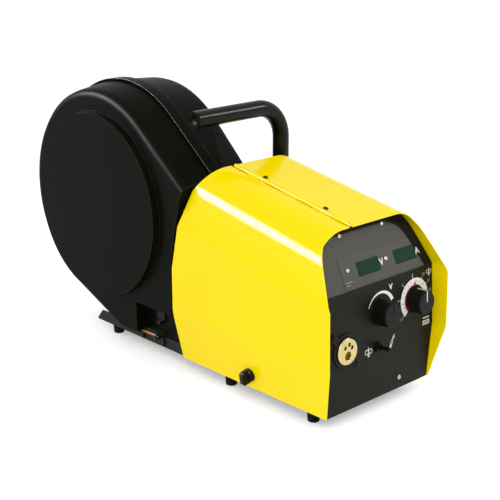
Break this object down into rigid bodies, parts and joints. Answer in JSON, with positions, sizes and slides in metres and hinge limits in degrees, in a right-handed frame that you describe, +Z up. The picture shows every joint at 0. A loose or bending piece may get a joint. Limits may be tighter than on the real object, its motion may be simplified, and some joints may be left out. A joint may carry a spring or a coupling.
{
  "type": "welding wire feeder",
  "caption": "Welding wire feeder: yellow sheet-metal body with top-hinged side door, tilted control panel, wire drive, round plastic spool pot and tube handle.",
  "frame": {"origin": "on the floor, in the middle plane of the body and about half way along the whole machine", "axes": "-Y is the front with the control panel, +Y the spool end, -X the door side, +Z up"},
  "size_m": [0.272, 0.7106, 0.4414],
  "materials": {
    "alu": "cast and milled aluminium",
    "black_paint": "satin black powder coat",
    "black_plastic": "black moulded plastic",
    "board": "green circuit board with its components",
    "brass": "machined brass",
    "copper": "copper bar",
    "motor": "grey painted motor case",
    "overlay": "dark grey printed overlay film",
    "passivated": "yellow passivated steel",
    "red_plastic": "red moulded plastic",
    "rubber": "soft black rubber",
    "steel": "turned steel",
    "window": "dark green display window",
    "yellow_paint": "gloss yellow powder coat on sheet steel",
    "zinc": "zinc plated steel"
  },
  "bodies": {
    "housing": {"base_tray": "black_paint", "rubber_feet": "rubber", "foot_screws": "zinc", "front_panel": "black_paint", "rear_panel": "black_paint", "centre_wall": "zinc", "right_cover": "yellow_paint", "hinge_fixed_leaf": "yellow_paint", "hinge_pin": "zinc", "black_screws": "zinc", "control_overlay": "overlay", "display_plate": "overlay", "voltage_window": "window", "current_window": "window", "display_board": "board", "panel_screws": "zinc", "potentiometers": "black_plastic", "toggle_switch": "black_plastic", "euro_flange": "black_plastic", "euro_body": "brass", "drive_plate": "alu", "drive_pillars": "brass", "gearbox": "alu", "drive_motor": "motor", "arm_pivot_pin": "steel", "wire_guides": "brass", "spool_post": "black_paint", "hub_axle": "steel", "pot_right_half": "black_plastic", "pot_band": "black_plastic", "pot_hinge_rod": "passivated", "pot_hinge_brackets": "black_paint", "handle_tube": "black_paint", "handle_plugs": "black_plastic", "handle_saddles": "black_paint", "handle_bolts": "zinc", "control_board": "board", "current_socket": "black_plastic", "control_socket": "zinc", "gas_inlet": "brass", "gas_valve": "alu", "current_bar": "copper", "gas_hose": "rubber"},
    "door": {"side_door": "yellow_paint", "hinge_door_leaf": "yellow_paint"},
    "door_latch": {"door_latch_knob": "black_plastic"},
    "voltage_knob": {"voltage_knob": "black_plastic"},
    "speed_knob": {"wire_speed_knob": "black_plastic"},
    "toggle": {"toggle_lever": "black_plastic"},
    "pinion": {"drive_pinion": "steel"},
    "lower_roll_front": {"lower_roll_front": "steel"},
    "lower_roll_rear": {"lower_roll_rear": "steel"},
    "pressure_arm": {"pressure_arm": "red_plastic"},
    "upper_roll_front": {"upper_roll_front": "steel"},
    "upper_roll_rear": {"upper_roll_rear": "steel"},
    "pressure_knob": {"pressure_knob": "red_plastic"},
    "hub": {"spool_hub": "black_plastic"},
    "hub_latch": {"hub_latch": "red_plastic"},
    "pot_door": {"pot_left_half": "black_plastic", "pot_latch": "black_plastic"}
  },
  "joints": [
    {"name": "door_hinge", "type": "hinge", "parent": "housing", "child": "door", "pos_m": [-0.04, -0.18129, 0.31177], "axis": [0, 0.9829, 0.184], "range_deg": [0, 90]},
    {"name": "door_latch_turn", "type": "hinge", "parent": "door", "child": "door_latch", "pos_m": [-0.11843, -0.18, 0.048], "axis": [-0.9819, 0, -0.1893], "range_deg": [0, 90]},
    {"name": "voltage_turn", "type": "hinge", "parent": "housing", "child": "voltage_knob", "pos_m": [0.008, -0.32154, 0.15273], "axis": [0, -0.9979, 0.0645], "range_deg": [-135, 135]},
    {"name": "wire_speed_turn", "type": "hinge", "parent": "housing", "child": "speed_knob", "pos_m": [0.085, -0.32154, 0.15273], "axis": [0, -0.9979, 0.0645], "range_deg": [-135, 135]},
    {"name": "toggle_tip", "type": "hinge", "parent": "housing", "child": "toggle", "pos_m": [0, -0.32507, 0.10286], "axis": [1, 0, 0], "range_deg": [-12, 12], "stiffness_Nm_per_rad": 0.2},
    {"name": "pinion_spin", "type": "hinge", "parent": "housing", "child": "pinion", "pos_m": [-0.05, -0.19, 0.07635], "axis": [1, 0, 0], "continuous": true},
    {"name": "lower_front_spin", "type": "hinge", "parent": "housing", "child": "lower_roll_front", "pos_m": [-0.05, -0.212, 0.092], "axis": [1, 0, 0], "continuous": true},
    {"name": "lower_rear_spin", "type": "hinge", "parent": "housing", "child": "lower_roll_rear", "pos_m": [-0.05, -0.168, 0.092], "axis": [1, 0, 0], "continuous": true},
    {"name": "arm_lift", "type": "hinge", "parent": "housing", "child": "pressure_arm", "pos_m": [-0.0825, -0.25, 0.126], "axis": [1, 0, 0], "range_deg": [0, 45]},
    {"name": "upper_front_spin", "type": "hinge", "parent": "pressure_arm", "child": "upper_roll_front", "pos_m": [-0.05, -0.212, 0.122], "axis": [1, 0, 0], "continuous": true},
    {"name": "upper_rear_spin", "type": "hinge", "parent": "pressure_arm", "child": "upper_roll_rear", "pos_m": [-0.05, -0.168, 0.122], "axis": [1, 0, 0], "continuous": true},
    {"name": "pressure_turn", "type": "hinge", "parent": "pressure_arm", "child": "pressure_knob", "pos_m": [-0.07, -0.15, 0.16], "axis": [0, 0, 1], "range_deg": [0, 270]},
    {"name": "hub_spin", "type": "hinge", "parent": "housing", "child": "hub", "pos_m": [-0.055, 0.171, 0.251], "axis": [1, 0, 0], "continuous": true},
    {"name": "hub_latch_turn", "type": "hinge", "parent": "hub", "child": "hub_latch", "pos_m": [-0.11, 0.171, 0.264], "axis": [1, 0, 0], "range_deg": [0, 180]},
    {"name": "pot_door_hinge", "type": "hinge", "parent": "housing", "child": "pot_door", "pos_m": [-0.118, 0.07, 0.0445], "axis": [0, -1, 0], "range_deg": [0, 90]}
  ],
  "couplings": [
    {"joint": "lower_front_spin", "follows": "pinion_spin", "ratio": -0.8},
    {"joint": "lower_rear_spin", "follows": "pinion_spin", "ratio": -0.8},
    {"joint": "upper_front_spin", "follows": "pinion_spin", "ratio": 0.8},
    {"joint": "upper_rear_spin", "follows": "pinion_spin", "ratio": 0.8}
  ]
}
